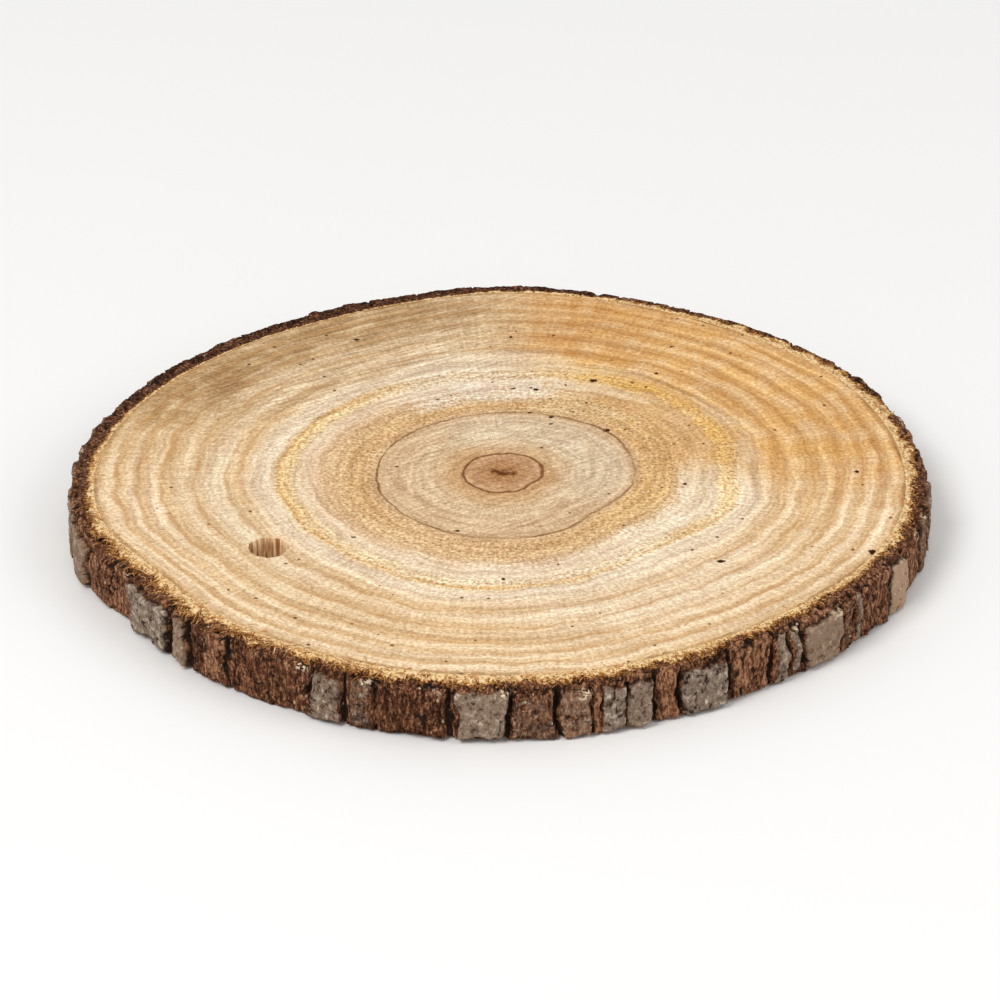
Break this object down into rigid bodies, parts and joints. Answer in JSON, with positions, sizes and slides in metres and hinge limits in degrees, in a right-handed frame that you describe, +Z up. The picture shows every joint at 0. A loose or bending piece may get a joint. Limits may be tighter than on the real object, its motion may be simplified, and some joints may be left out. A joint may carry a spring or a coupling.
{
  "type": "wood slice",
  "caption": "Round slice sawn across a young tree trunk: a flat pale wood disc with growth rings and a small hanging hole, edged by rough bark.",
  "frame": {"origin": "on the surface that the slice lies on, under the middle of its box", "axes": "+Z up, square to both sawn faces; -Y is the front, as the picture shows it; +X is to the right of the front"},
  "size_m": [0.1309, 0.1289, 0.0094],
  "materials": {
    "wood": "bare sawn end grain with growth rings, matt",
    "bark": "rough cracked bark, reddish brown with grey weathered scales, matt"
  },
  "bodies": {
    "root": {"wood_disc": "wood", "bark_ring": "bark"}
  },
  "joints": []
}
